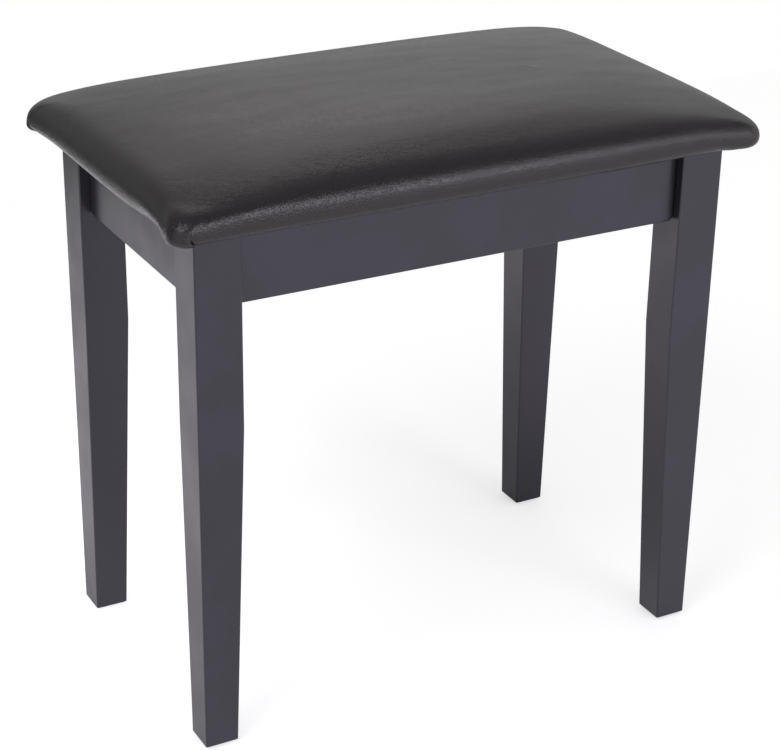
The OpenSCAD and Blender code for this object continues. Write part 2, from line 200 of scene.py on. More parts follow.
def whitePaper():
    s = studioSet
    material = bpy.data.materials.new("whitePaper")
    tree = emptyTree(material)
    matt = addNode(tree, "ShaderNodeBsdfDiffuse", {"Color": colour(s["paperColour"])})
    sight, mirrored = raysSeen(tree)
    place = addNode(tree, "ShaderNodeNewGeometry").outputs["Position"]
    # painted light: the paper glows brighter in a pool on the bench's left, seen straight and mirrored
    fromPaintedPool = addNode(tree, "ShaderNodeVectorMath", {"operation": "DISTANCE", 1: s["paintedPoolAt"]}, {0: place})
    pool = addNode(tree, "ShaderNodeMapRange", {**eased, **s["paintedPoolRange"]}, {"Value": fromPaintedPool})
    # painted shade: the mirrored glow is lowered below and behind the bench, in place of its shadow
    fromPaintedShade = addNode(tree, "ShaderNodeVectorMath", {"operation": "DISTANCE", 1: s["paintedShadeAt"]}, {0: place})
    shade = addNode(tree, "ShaderNodeMapRange", {**eased, **s["paintedShadeRange"]}, {"Value": fromPaintedShade})
    plain = addNode(tree, "ShaderNodeMath", {"operation": "ADD", 1: s["mirrorLift"]}, {0: shade})
    seen = addNode(tree, "ShaderNodeMath", {"operation": "MULTIPLY", 1: s["sightLift"]}, {0: sight})
    lift = addNode(tree, "ShaderNodeMath", {"operation": "MULTIPLY_ADD"}, {0: mirrored, 1: plain, 2: seen})
    both = addNode(tree, "ShaderNodeMath", {"operation": "MAXIMUM"}, {0: sight, 1: mirrored})
    more = addNode(tree, "ShaderNodeMath", {"operation": "MULTIPLY"}, {0: both, 1: pool})
    evenGlow = addNode(tree, "ShaderNodeEmission", {"Color": (1, 1, 1, 1)}, {"Strength": lift})
    paintedPoolGlow = addNode(tree, "ShaderNodeEmission", {"Color": colour(s["paintedPoolColour"])}, {"Strength": more})
    glow = addNode(tree, "ShaderNodeAddShader", links={0: evenGlow, 1: paintedPoolGlow})
    total = addNode(tree, "ShaderNodeAddShader", links={0: matt, 1: glow})
    addNode(tree, "ShaderNodeOutputMaterial", links={"Surface": total})
    return material


def makeLamp(name, target, at, size, level, tint):
    data = bpy.data.lights.new(name, "AREA")
    data.shape = "RECTANGLE"
    data.size, data.size_y = size
    data.energy = level * math.pi * size[0] * size[1]
    data.color = colour(tint)[:3]
    lamp = bpy.data.objects.new(name, data)
    bpy.context.scene.collection.objects.link(lamp)
    lamp.location = at
    lamp.rotation_euler = (target - Vector(at)).to_track_quat("-Z", "Y").to_euler()


def makeStudio():
    bpy.context.scene.view_settings.view_transform = "Standard"
    makeSurroundings()
    bpy.ops.object.select_all(action="DESELECT")
    first, last = studioSet["paper"]
    bpy.ops.mesh.primitive_plane_add(size=1, location=((first[0] + last[0]) / 2, (first[1] + last[1]) / 2, 0))
    floor = bpy.context.object
    floor.name = "studioFloor"
    floor.scale = (last[0] - first[0], last[1] - first[1], 1)
    floor.data.materials.append(whitePaper())
    middle = (cadBox[0] + cadBox[1]) / 2
    for name, lamp in studioSet["lamps"].items():
        makeLamp(name, middle, **lamp)
    print("studio lit")


makeStudio()


# polyurethane lacquer, sprayed black and satin over beech: an almost black coat whose grey comes
# from the room it mirrors, with a little of the wood's grain and of the spray showing through
lacquerSet = {
    "colour": "#1e1d23",
    "mist": "#25222c",        # thinner, dustier coat in the spray's overlap
    "mistRange": {"From Min": 0.35, "From Max": 0.75},
    "cloud": 55 * mm,         # size of such a patch
    "inside": "#1f1d24",      # the thin coat inside the frame
    "insideRange": {"From Min": -0.08, "From Max": -0.02, "To Min": 1.0, "To Max": 0.0},
    "sheenTint": "#f6f1ff",   # the coat mirrors white with a trace of violet
    "roughRange": {"From Min": 0.3, "From Max": 0.7, "To Min": 0.29, "To Max": 0.39},
    "ior": 1.6,
    "peel": 2.6 * mm,         # orange peel, crest to crest
    "peelDepth": 0.014 * mm,
    "grainWidth": 1.4 * mm,   # pores showing through the coat
    "grainLength": 32 * mm,
    "grainDepth": 0.010 * mm,
}


def blackLacquer(name, along):
    s = lacquerSet
    material, tree, place = newMaterial("satinBlackLacquer" + name)
    stretch = [1 / s["grainWidth"]] * 3
    stretch[along] = 1 / s["grainLength"]
    drawn = addNode(tree, "ShaderNodeMapping", {"Scale": stretch}, {"Vector": place})
    grain = addNode(tree, "ShaderNodeTexNoise", {"Scale": 1.0, "Detail": 3.0, "Roughness": 0.6},
                    {"Vector": drawn})
    peel = addNode(tree, "ShaderNodeTexNoise", {"Scale": 1 / s["peel"], "Detail": 1.0}, {"Vector": place})
    cloud = addNode(tree, "ShaderNodeTexNoise", {"Scale": 1 / s["cloud"], "Detail": 4.0, "Roughness": 0.55},
                    {"Vector": place})
    # inner faces look towards the middle of the bench
    shape = addNode(tree, "ShaderNodeNewGeometry")
    flat = addNode(tree, "ShaderNodeMapping", {"Scale": (1, 1, 0)}, {"Vector": place})
    outward = addNode(tree, "ShaderNodeVectorMath", {"operation": "DOT_PRODUCT"},
                      {0: shape.outputs["True Normal"], 1: flat})
    inner = addNode(tree, "ShaderNodeMapRange", {**eased, **s["insideRange"]}, {"Value": outward})
    misty = addNode(tree, "ShaderNodeMapRange", {**eased, **s["mistRange"]}, {"Value": cloud})
    face = addNode(tree, "ShaderNodeMix", {"data_type": "RGBA", 6: colour(s["colour"]), 7: colour(s["mist"])},
                   {0: misty})
    tone = addNode(tree, "ShaderNodeMix", {"data_type": "RGBA", 7: colour(s["inside"])},
                   {0: inner, 6: face})
    rough = addNode(tree, "ShaderNodeMapRange", {**eased, **s["roughRange"]}, {"Value": cloud})
    first = addNode(tree, "ShaderNodeBump", {"Distance": s["peelDepth"]}, {"Height": peel})
    second = addNode(tree, "ShaderNodeBump", {"Distance": s["grainDepth"]},
                     {"Height": grain, "Normal": first})
    finishMaterial(tree, {"IOR": s["ior"], "Specular Tint": colour(s["sheenTint"])},
                   {"Base Color": tone, "Roughness": rough, "Normal": second})
    return material


# soft PVC on a knitted back: embossed with a fine pebble grain, semi-matt, with a faint
# unevenness from the calender; the real grain is near 0.9 mm and is drawn a little coarser to show
leatherSet = {
    "colour": "#1f1b1e",
    "valleyShade": "#141214",      # painted shade between the pebbles
    "worn": "#242023",
    "wornRange": {"From Min": 0.35, "From Max": 0.7},
    "cloud": 45 * mm,         # size of a worn patch
    "sheenTint": "#fff7fc",
    "roughRange": {"From Min": 0.3, "From Max": 0.7, "To Min": 0.21, "To Max": 0.27},
    "ior": 1.5,
    "pebble": 1.35 * mm,
    "pebbleRange": {"From Min": 0.0, "From Max": 0.75, "To Min": 1.0, "To Max": 0.0},
    "pebbleDepth": 0.14 * mm,
    "stray": 0.6,             # the pebbles wander, in waves this many to a pebble
    "pore": 0.45 * mm,
    "poreDepth": 0.008 * mm,
    "crease": (60 * mm, 16 * mm, 30 * mm),   # faint stretch marks, along the bench
    "creaseDepth": 0.03 * mm,
}


def leatherette():
    s = leatherSet
    material, tree, place = newMaterial("pebbledLeatherette")
    stray = addNode(tree, "ShaderNodeTexNoise", {"Scale": s["stray"] / s["pebble"], "Detail": 1.0},
                    {"Vector": place})
    bent = addNode(tree, "ShaderNodeVectorMath", {"operation": "MULTIPLY_ADD", 1: (s["pebble"],) * 3},
                   {0: stray.outputs["Color"], 2: place})
    cell = addNode(tree, "ShaderNodeTexVoronoi", {"Scale": 1 / s["pebble"], "Randomness": 0.9},
                   {"Vector": bent})
    pebble = addNode(tree, "ShaderNodeMapRange", {**eased, **s["pebbleRange"]}, {"Value": cell})
    pore = addNode(tree, "ShaderNodeTexNoise", {"Scale": 1 / s["pore"], "Detail": 2.0}, {"Vector": place})
    drawn = addNode(tree, "ShaderNodeMapping", {"Scale": [1 / c for c in s["crease"]]}, {"Vector": place})
    crease = addNode(tree, "ShaderNodeTexNoise", {"Scale": 1.0, "Detail": 2.0, "Roughness": 0.4},
                     {"Vector": drawn})
    cloud = addNode(tree, "ShaderNodeTexNoise", {"Scale": 1 / s["cloud"], "Detail": 3.0}, {"Vector": place})
    worn = addNode(tree, "ShaderNodeMapRange", {**eased, **s["wornRange"]}, {"Value": cloud})
    base = addNode(tree, "ShaderNodeMix", {"data_type": "RGBA", 6: colour(s["colour"]), 7: colour(s["worn"])},
                   {0: worn})
    # painted shade: darker between the pebbles, on the same mask as the grain's bump
    tone = addNode(tree, "ShaderNodeMix", {"data_type": "RGBA", 6: colour(s["valleyShade"])},
                   {0: pebble, 7: base})
    rough = addNode(tree, "ShaderNodeMapRange", {**eased, **s["roughRange"]}, {"Value": crease})
    wave = addNode(tree, "ShaderNodeBump", {"Distance": s["creaseDepth"]},
                   {"Height": crease})
    grain = addNode(tree, "ShaderNodeBump", {"Distance": s["pebbleDepth"]},
                    {"Height": pebble, "Normal": wave})
    fine = addNode(tree, "ShaderNodeBump", {"Distance": s["poreDepth"]},
                   {"Height": pore, "Normal": grain})
    finishMaterial(tree, {"IOR": s["ior"], "Specular Tint": colour(s["sheenTint"])},
                   {"Base Color": tone, "Roughness": rough, "Normal": fine})
    return material


# the polyester knit behind the leatherette: pale grey, matt, in rows of stitches about 0.8 mm apart, with
# painted shade in the gaps between them
knitSet = {
    "colour": "#8d8b86",
    "gapShade": "#55534f",
    "gapShadeRange": {"From Min": 0.1, "From Max": 0.6},
    "stitch": 0.8 * mm,
    "depth": 0.12 * mm,
    "rough": 0.9,
}


def knitBacking():
    s = knitSet
    material, tree, place = newMaterial("knittedBacking")
    rows = addNode(tree, "ShaderNodeTexVoronoi", {"Scale": 1 / s["stitch"], "Randomness": 0.25},
                   {"Vector": place})
    # painted shade: darker in the gaps between the stitches
    gapShadeMask = addNode(tree, "ShaderNodeMapRange", {**eased, **s["gapShadeRange"]}, {"Value": rows})
    tone = addNode(tree, "ShaderNodeMix", {"data_type": "RGBA", 6: colour(s["colour"]), 7: colour(s["gapShade"])},
                   {0: gapShadeMask})
    bump = addNode(tree, "ShaderNodeBump", {"Distance": s["depth"]}, {"Height": rows})
    finishMaterial(tree, {"Roughness": s["rough"]}, {"Base Color": tone, "Normal": bump})
    return material


# open-cell polyurethane foam: cream, matt, full of cells under a millimetre wide, with painted shade inside
# each cell
foamSet = {
    "colour": "#e3d6a8",
    "cell": "#a89868",
    "poreShadeRange": {"From Min": 0.15, "From Max": 0.55, "To Min": 1.0, "To Max": 0.0},
    "cellSize": 0.9 * mm,
    "depth": 0.3 * mm,
    "rough": 0.95,
}


def foamRubber():
    s = foamSet
    material, tree, place = newMaterial("openCellFoam")
    cells = addNode(tree, "ShaderNodeTexVoronoi", {"Scale": 1 / s["cellSize"]}, {"Vector": place})
    # painted shade: darker in the hollow middle of each cell
    poreShade = addNode(tree, "ShaderNodeMapRange", {**eased, **s["poreShadeRange"]}, {"Value": cells})
    tone = addNode(tree, "ShaderNodeMix", {"data_type": "RGBA", 6: colour(s["colour"]), 7: colour(s["cell"])},
                   {0: poreShade})
    bump = addNode(tree, "ShaderNodeBump", {"Strength": 0.8, "Distance": s["depth"]}, {"Height": cells})
    finishMaterial(tree, {"Roughness": s["rough"]}, {"Base Color": tone, "Normal": bump})
    return material


# poplar plywood, nine plies: pale face grain along the bench, plies alternating on the cut edge
boardSet = {
    "early": "#d9c193",
    "late": "#c3a573",
    "lateRange": {"From Min": 0.36, "From Max": 0.68},
    "endGrain": "#a98a5c",
    "endRange": {"From Min": 0.46, "From Max": 0.54},      # from a ply along the bench to one across it
    "glue": "#6d5434",
    "glueRange": {"From Min": 0.02, "From Max": 0.09, "To Min": 1.0, "To Max": 0.0},
    "faceRange": {"From Min": 0.3, "From Max": 0.7},       # from the cut edge to a face
    "rough": 0.75,
    "ply": 12 / 9 * mm,
    "grain": (55 * mm, 2.2 * mm, 2.2 * mm),
    "depth": 0.06 * mm,
}


def plywood(bottom):
    s = boardSet
    material, tree, place = newMaterial("poplarPlywood")
    drawn = addNode(tree, "ShaderNodeMapping", {"Scale": [1 / g for g in s["grain"]]}, {"Vector": place})
    grain = addNode(tree, "ShaderNodeTexNoise",
                    {"Scale": 1.0, "Detail": 5.0, "Roughness": 0.62, "Distortion": 0.5}, {"Vector": drawn})
    late = addNode(tree, "ShaderNodeMapRange", {**eased, **s["lateRange"]}, {"Value": grain})
    wood = addNode(tree, "ShaderNodeMix", {"data_type": "RGBA", 6: colour(s["early"]), 7: colour(s["late"])},
                   {0: late})
    # height counted in plies, to and fro
    split = addNode(tree, "ShaderNodeSeparateXYZ", links={"Vector": place})
    plies = addNode(tree, "ShaderNodeMath",
                    {"operation": "MULTIPLY_ADD", 1: 1 / s["ply"], 2: -bottom / s["ply"]},
                    {0: split.outputs["Z"]})
    share = addNode(tree, "ShaderNodeMath", {"operation": "PINGPONG", 1: 1.0}, {0: plies})
    cross = addNode(tree, "ShaderNodeMapRange", {**eased, **s["endRange"]}, {"Value": share})
    edge = addNode(tree, "ShaderNodeMix", {"data_type": "RGBA", 7: colour(s["endGrain"])},
                   {0: cross, 6: wood})
    line = addNode(tree, "ShaderNodeMath", {"operation": "SUBTRACT", 1: 0.5}, {0: share})
    near = addNode(tree, "ShaderNodeMath", {"operation": "ABSOLUTE"}, {0: line})
    glueLine = addNode(tree, "ShaderNodeMapRange", {**eased, **s["glueRange"]}, {"Value": near})
    glued = addNode(tree, "ShaderNodeMix", {"data_type": "RGBA", 7: colour(s["glue"])},
                    {0: glueLine, 6: edge})
    shape = addNode(tree, "ShaderNodeNewGeometry")
    up = addNode(tree, "ShaderNodeSeparateXYZ", links={"Vector": shape.outputs["Normal"]})
    flat = addNode(tree, "ShaderNodeMath", {"operation": "ABSOLUTE"}, {0: up.outputs["Z"]})
    face = addNode(tree, "ShaderNodeMapRange", {**eased, **s["faceRange"]}, {"Value": flat})
    tone = addNode(tree, "ShaderNodeMix", {"data_type": "RGBA"}, {0: face, 6: glued, 7: wood})
    bump = addNode(tree, "ShaderNodeBump", {"Distance": s["depth"]}, {"Height": grain})
    finishMaterial(tree, {"Roughness": s["rough"]}, {"Base Color": tone, "Normal": bump})
    return material


# planed pine, bare: wide pale early wood with thin darker late wood running along each stick
pineSet = {
    "early": "#e2c795",
    "late": "#b98a4e",
    "lateRange": {"From Min": 0.55, "From Max": 1.25},
    "rough": 0.68,
    "ring": (260 * mm, 3.4 * mm, 3.4 * mm),
    "fibre": (14 * mm, 0.5 * mm, 0.5 * mm),
    "fibreShare": 0.45,
    "depth": 0.08 * mm,
}


def planedPine():
    s = pineSet
    material, tree, place = newMaterial("planedPine")
    long = addNode(tree, "ShaderNodeMapping", {"Scale": [1 / r for r in s["ring"]]}, {"Vector": place})
    rings = addNode(tree, "ShaderNodeTexWave",
                    {"wave_type": "RINGS", "rings_direction": "X", "Scale": 0.5, "Distortion": 3.0,
                     "Detail": 2.0, "Detail Scale": 0.7}, {"Vector": long})
    drawn = addNode(tree, "ShaderNodeMapping", {"Scale": [1 / f for f in s["fibre"]]}, {"Vector": place})
    fibre = addNode(tree, "ShaderNodeTexNoise", {"Scale": 1.0, "Detail": 3.0}, {"Vector": drawn})
    both = addNode(tree, "ShaderNodeMath", {"operation": "MULTIPLY_ADD", 1: s["fibreShare"]},
                   {0: fibre, 2: rings.outputs["Fac"]})
    late = addNode(tree, "ShaderNodeMapRange", {**eased, **s["lateRange"]}, {"Value": both})
    tone = addNode(tree, "ShaderNodeMix", {"data_type": "RGBA", 6: colour(s["early"]), 7: colour(s["late"])},
                   {0: late})
    bump = addNode(tree, "ShaderNodeBump", {"Distance": s["depth"]}, {"Height": both})
    finishMaterial(tree, {"Roughness": s["rough"]}, {"Base Color": tone, "Normal": bump})
    return material


# bright zinc plate on rolled or turned steel: blue-white, with faint drawing lines and duller patches
zincSet = {
    "colour": "#c3c6ca",
    "dull": "#9da1a6",
    "dullRange": {"From Min": 0.4, "From Max": 0.7},
    "roughRange": {"From Min": 0.3, "From Max": 0.7, "To Min": 0.18, "To Max": 0.42},
    "cloud": 6 * mm,
    "line": (0.25 * mm, 0.25 * mm, 9 * mm),
    "depth": 0.012 * mm,
}


def zincSteel():
    s = zincSet
    material, tree, place = newMaterial("brightZincSteel")
    cloud = addNode(tree, "ShaderNodeTexNoise", {"Scale": 1 / s["cloud"], "Detail": 5.0, "Roughness": 0.6},
                    {"Vector": place})
    drawn = addNode(tree, "ShaderNodeMapping", {"Scale": [1 / part for part in s["line"]]}, {"Vector": place})
    lines = addNode(tree, "ShaderNodeTexNoise", {"Scale": 1.0, "Detail": 2.0}, {"Vector": drawn})
    dull = addNode(tree, "ShaderNodeMapRange", {**eased, **s["dullRange"]}, {"Value": cloud})
    tone = addNode(tree, "ShaderNodeMix", {"data_type": "RGBA", 6: colour(s["colour"]), 7: colour(s["dull"])},
                   {0: dull})
    rough = addNode(tree, "ShaderNodeMapRange", {**eased, **s["roughRange"]}, {"Value": cloud})
    bump = addNode(tree, "ShaderNodeBump", {"Distance": s["depth"]}, {"Height": lines})
    finishMaterial(tree, {"Metallic": 1.0}, {"Base Color": tone, "Roughness": rough, "Normal": bump})
    return material


# moulded polyethylene: dark, waxy, scuffed grey where it stands on the floor
glideSet = {
    "colour": "#232326",
    "scuff": "#55555a",
    "scuffRange": {"From Min": 0.42, "From Max": 0.6},
    "lowRange": {"From Min": 0.0, "From Max": 0.5 * mm, "To Min": 1.0, "To Max": 0.0},    # by height
    "scuffSize": 1.6 * mm,
    "depth": 0.03 * mm,
    "roughRange": {"From Min": 0.3, "From Max": 0.7, "To Min": 0.42, "To Max": 0.62},
    "ior": 1.51,
}


def mouldedGlide():
    s = glideSet
    material, tree, place = newMaterial("mouldedPolyethylene")
    marks = addNode(tree, "ShaderNodeTexNoise",
                    {"Scale": 1 / s["scuffSize"], "Detail": 4.0, "Roughness": 0.7}, {"Vector": place})
    split = addNode(tree, "ShaderNodeSeparateXYZ", links={"Vector": place})
    low = addNode(tree, "ShaderNodeMapRange", {**eased, **s["lowRange"]}, {"Value": split.outputs["Z"]})
    scuffs = addNode(tree, "ShaderNodeMapRange", {**eased, **s["scuffRange"]}, {"Value": marks})
    worn = addNode(tree, "ShaderNodeMath", {"operation": "MULTIPLY"}, {0: low, 1: scuffs})
    tone = addNode(tree, "ShaderNodeMix",
                   {"data_type": "RGBA", 6: colour(s["colour"]), 7: colour(s["scuff"])}, {0: worn})
    rough = addNode(tree, "ShaderNodeMapRange", {**eased, **s["roughRange"]}, {"Value": marks})
    bump = addNode(tree, "ShaderNodeBump", {"Distance": s["depth"]}, {"Height": marks})
    finishMaterial(tree, {"IOR": s["ior"]}, {"Base Color": tone, "Roughness": rough, "Normal": bump})
    return material


# spunbond polypropylene, black: matt felt of fine threads, pressed with rows of small bond points
spunbondSet = {
    "colour": "#1f1f21",
    "thread": "#3a3a3d",
    "threadRange": {"From Min": 0.45, "From Max": 0.72},
    "bond": "#101011",
    "pitch": 1.6 * mm,       # the real points are about 1 mm apart
    "bondRange": {"From Min": 0.24, "From Max": 0.36, "To Min": 1.0, "To Max": 0.0},
    "fibre": (3.5 * mm, 0.35 * mm),
    "depth": 0.09 * mm,
    "rough": 0.82,
}


def spunbond():
    s = spunbondSet
    material, tree, place = newMaterial("spunbondPolypropylene")
    points = addNode(tree, "ShaderNodeTexVoronoi",
                     {"voronoi_dimensions": "2D", "Scale": 1 / s["pitch"], "Randomness": 0.0},
                     {"Vector": place})
    pressed = addNode(tree, "ShaderNodeMapRange", {**eased, **s["bondRange"]}, {"Value": points})
    # threads along the bench and across it
    ways = []
    for long, short in (s["fibre"], s["fibre"][::-1]):
        drawn = addNode(tree, "ShaderNodeMapping", {"Scale": (1 / long, 1 / short, 1)}, {"Vector": place})
        ways.append(addNode(tree, "ShaderNodeTexNoise", {"Scale": 1.0, "Detail": 2.0, "Distortion": 1.5},
                            {"Vector": drawn}))
    threads = addNode(tree, "ShaderNodeMath", {"operation": "MAXIMUM"}, {0: ways[0], 1: ways[1]})
    lit = addNode(tree, "ShaderNodeMapRange", {**eased, **s["threadRange"]}, {"Value": threads})
    felt = addNode(tree, "ShaderNodeMix",
                   {"data_type": "RGBA", 6: colour(s["colour"]), 7: colour(s["thread"])}, {0: lit})
    tone = addNode(tree, "ShaderNodeMix", {"data_type": "RGBA", 7: colour(s["bond"])},
                   {0: pressed, 6: felt})
    height = addNode(tree, "ShaderNodeMath", {"operation": "SUBTRACT"}, {0: threads, 1: pressed})
    bump = addNode(tree, "ShaderNodeBump", {"Distance": s["depth"]}, {"Height": height})
    finishMaterial(tree, {"Roughness": s["rough"]}, {"Base Color": tone, "Normal": bump})
    return material


def dress(names, material):
    for name in names:
        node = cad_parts[name]
        node.data.materials.clear()
        node.data.materials.append(material)


corners = ["front_left", "front_right", "rear_left", "rear_right"]
dress(["leg_" + c for c in corners], blackLacquer("Legs", 2))
dress(["apron_front", "apron_rear"], blackLacquer("LongAprons", 0))
dress(["apron_left", "apron_right"], blackLacquer("ShortAprons", 1))
dress(["batten_front", "batten_rear"], planedPine())
dress(["seat_board"], plywood(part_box("seat_board")[0].z))
dress(["glide_" + c for c in corners], mouldedGlide())
zinc = zincSteel()
dress(["bracket_" + c for c in corners], zinc)
dress(["hanger_bolts", "leg_washers", "leg_spring_washers", "leg_nuts", "bracket_screws", "batten_screws",
       "seat_screws", "cover_staples", "dust_staples"], zinc)
print("frame, hardware and board finished")


# seat cushion: leatherette pulled over foam and folded under the board
cushionSet = {
    "cornerRadius": 16 * mm,    # of the outline, seen from above
    "cornerSpread": 0.9,        # how fast the corners round off on the way up
    "noseHeight": 13.5 * mm,    # widest line above the underside
    "leftNoseDrop": 4.0 * mm,   # the left side is pulled tighter, so its widest line is lower
    "leftNoseFrom": 0.93,       # the left side begins here, as a share of the half length
    "underInset": 7.5 * mm,     # how far the underside draws in
    "underSquare": 2.7,         # 2 is a round lower edge, more is a sharper one
    "edgeRise": 16 * mm,        # rise of the rounded edge
    "edgeWidth": 30 * mm,       # its width, seen from above
    "edgePower": 4.2,           # how soon it levels off
    "crown": 15.5 * mm,
    "crownAlong": 2.7,
    "crownAcross": 3.6,
    "cornerDroop": 5.0 * mm,
    "cornerFlare": 5.0 * mm,
    "cornerReach": 40 * mm,
    "slump": 3.0 * mm,          # the foam has sunk round the front left corner
    "slumpReach": 80 * mm,
    "frontSlump": 5.0 * mm,     # and behind the front edge beside it
    "frontReach": (95 * mm, 95 * mm),     # along the edge, and back from it
    "frontEven": 0.3,           # share of this along the whole front edge
    "firmReach": 28 * mm,       # the front left corner itself stays up
    "rightSlump": 0.8 * mm,     # round the front right corner it has sunk less
    "rightReach": 75 * mm,
    "slumpPower": 3,            # how soon the foam sinks, in from its edge
    "bow": 1.5 * mm,            # the sides bow out between their corners
    "flap": 42 * mm,            # inner edge of the folded flap, from the outline
    "foldGap": 2 * mm,          # between the flap's last ring and the rounded lower edge
    "wall": 1 * mm,             # thickness of the leatherette
    "rings": {"under": 12, "side": 16, "edge": 24, "top": 26},
    "edgeCrowding": 1.6,        # the edge's rings lie closer where it curves most
    "arcSteps": 22,             # columns round a corner, then their pitch beside it and further on
    "finePitch": 1.2 * mm,
    "fineReach": 26 * mm,
    "widePitch": 5.5 * mm,
    "tuckPlace": 10.5 * mm,     # the tuck, round the corner from its middle
    "tuckColumns": (-3.0, -1.0, 1.0, 3.0),     # extra columns at the tuck, in degrees from it
}


# degrees of the columns round one corner
def roundArc():
    c = cushionSet
    steps = [90 * i / c["arcSteps"] for i in range(c["arcSteps"] + 1)]
    middle = 45 + math.degrees(c["tuckPlace"] / c["cornerRadius"])
    return sorted(steps + [middle + extra for extra in c["tuckColumns"]])


# places of the columns along a straight run, as shares of it
def straightSteps(length):
    c = cushionSet
    fine = [i * c["finePitch"] for i in range(1, int(c["fineReach"] / c["finePitch"]) + 1)]
    count = max(1, round((length - 2 * fine[-1]) / c["widePitch"]))
    wide = [fine[-1] + i * (length - 2 * fine[-1]) / count for i in range(1, count)]
    return [p / length for p in fine + wide + [length - f for f in reversed(fine)]]


# one closed ring of the cushion, seen from above; every ring has the same columns
def ringPath(half, inset, radius, arc, longSteps, shortSteps):
    a, b = half[0] - inset, half[1] - inset
    r = min(radius, a, b)
    points = []
    for index, (sx, sy) in enumerate(((1, 1), (-1, 1), (-1, -1), (1, -1))):
        middle = Vector((sx * (a - r), sy * (b - r)))
        for degrees in arc:
            angle = math.radians(degrees + 90 * index)
            points.append(middle + r * Vector((math.cos(angle), math.sin(angle))))
        along = Vector(((-1, 0), (0, -1), (1, 0), (0, 1))[index])
        run = 2 * ((a, b)[index % 2] - r)
        start = points[-1].copy()
        points += [start + along * run * step for step in (longSteps, shortSteps)[index % 2]]
    return np.array(points)


# each column's distance round the outline from the nearest corner's middle, and which corner that is
def columnPlaces(arc, longRun, shortRun, longSteps, shortSteps):
    r = cushionSet["cornerRadius"]
    places = []
    owners = []
    for index in range(4):
        places += [r * math.radians(degrees - 45) for degrees in arc]
        owners += [index] * len(arc)
        run, steps = ((longRun, longSteps), (shortRun, shortSteps))[index % 2]
        quarter = r * math.radians(45)
        places += [min(quarter + run * step, -quarter - run * (1 - step), key=abs) for step in steps]
        owners += [index if step < 0.5 else (index + 1) % 4 for step in steps]
    return np.array(places), np.array(owners)


# half size of the outline, and the straight runs between its corners
def outline():
    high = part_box("seat_cover")[1]
    half = Vector((high.x - cushionSet["bow"] / 2, high.y - cushionSet["bow"] / 2))
    return half, [2 * (h - cushionSet["cornerRadius"]) for h in half]


def smooth(value, low, high):
    t = np.clip((value - low) / (high - low), 0, 1)
    return t * t * (3 - 2 * t)


# rings of points from the flap to the middle of the top, the places and corners of their columns, and
# the inset and part of each ring
def cushionGrid():
    c = cushionSet
    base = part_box("seat_cover")[0].z
    half, (longRun, shortRun) = outline()
    arc = roundArc()
    longSteps, shortSteps = straightSteps(longRun), straightSteps(shortRun)

    # the section, from the flap's inner edge round to the middle: inset, share of rise, corner radius, part
    section = []
    counts = c["rings"]
    for inset in np.linspace(c["flap"], c["underInset"] + c["foldGap"], counts["under"]):
        section.append((inset, 0.0, c["cornerRadius"], "under"))
    power = 2 / c["underSquare"]
    for i in range(counts["side"] + 1):
        angle = math.pi / 2 * i / counts["side"]
        inset = c["underInset"] * (1 - math.sin(angle) ** power)
        section.append((inset, 1 - math.cos(angle) ** power, c["cornerRadius"], "side"))
    for i in range(1, counts["edge"] + 1):
        t = (i / counts["edge"]) ** c["edgeCrowding"]
        section.append((c["edgeWidth"] * t, math.sqrt(1 - (1 - t) ** c["edgePower"]),
                        c["cornerRadius"] + c["cornerSpread"] * c["edgeWidth"] * t, "edge"))
    last = c["cornerRadius"] + c["cornerSpread"] * c["edgeWidth"]
    for i in range(1, counts["top"] + 1):
        inset = c["edgeWidth"] + (half.y - c["edgeWidth"]) * i / counts["top"]
        section.append((inset, 1.0, last, "top"))

    rows = []
    outermost = ringPath(half, 0, c["cornerRadius"], arc, longSteps, shortSteps)[:, 0]
    noseDrop = c["leftNoseDrop"] * smooth(-outermost / half.x, c["leftNoseFrom"], 1)
    for inset, share, radius, part in section:
        ring = ringPath(half, inset, radius, arc, longSteps, shortSteps)
        x, y = ring[:, 0], ring[:, 1]
        toSide = np.hypot(np.maximum(0, half.x - abs(x)), np.maximum(0, half.y - abs(y)))
        near = np.exp(-(toSide / c["cornerReach"]) ** 2)
        lift = {"under": 0.0, "side": share}.get(part, 1.0)
        z = base + (c["noseHeight"] - noseDrop) * lift - c["cornerDroop"] * near * lift
        if part in ("edge", "top"):
            z += (c["edgeRise"] + noseDrop) * share
            fromLeft, fromFront = x + half.x, y + half.y
            fromCorner = np.hypot(fromLeft, fromFront)
            fromOther = np.hypot(half.x - x, fromFront)
            sunk = c["slump"] * np.exp(-(fromCorner / c["slumpReach"]) ** 2)
            leftShare = np.exp(-(fromLeft / c["frontReach"][0]) ** 2)
            leftShare = c["frontEven"] + (1 - c["frontEven"]) * leftShare
            frontShare = np.clip(1 - fromFront / c["frontReach"][1], 0, 1) ** 3
            sunk += c["frontSlump"] * frontShare * leftShare
            sunk += c["rightSlump"] * np.exp(-(fromOther / c["rightReach"]) ** 2)
            z -= sunk * share ** c["slumpPower"] * (1 - np.exp(-(fromCorner / c["firmReach"]) ** 2))
            crown = 1 - abs(x / half.x) ** c["crownAlong"]
            z += c["crown"] * crown * (1 - abs(y / half.y) ** c["crownAcross"])
        grow = 1 + c["cornerFlare"] * near / half.length
        bowX = 1 + c["bow"] * (1 - (y / half.y) ** 2) / half.x
        bowY = 1 + c["bow"] * (1 - (x / half.x) ** 2) / half.y
        rows.append(np.stack([x * grow * bowX, y * grow * bowY, z], -1))
    places, owners = columnPlaces(arc, longRun, shortRun, longSteps, shortSteps)
    inset = np.array([row[0] for row in section])[:, None]
    parts = np.array([row[3] for row in section])[:, None]
    return np.array(rows), places, owners, inset, parts


mergeGap = 0.01 * mm     # points closer than this become one


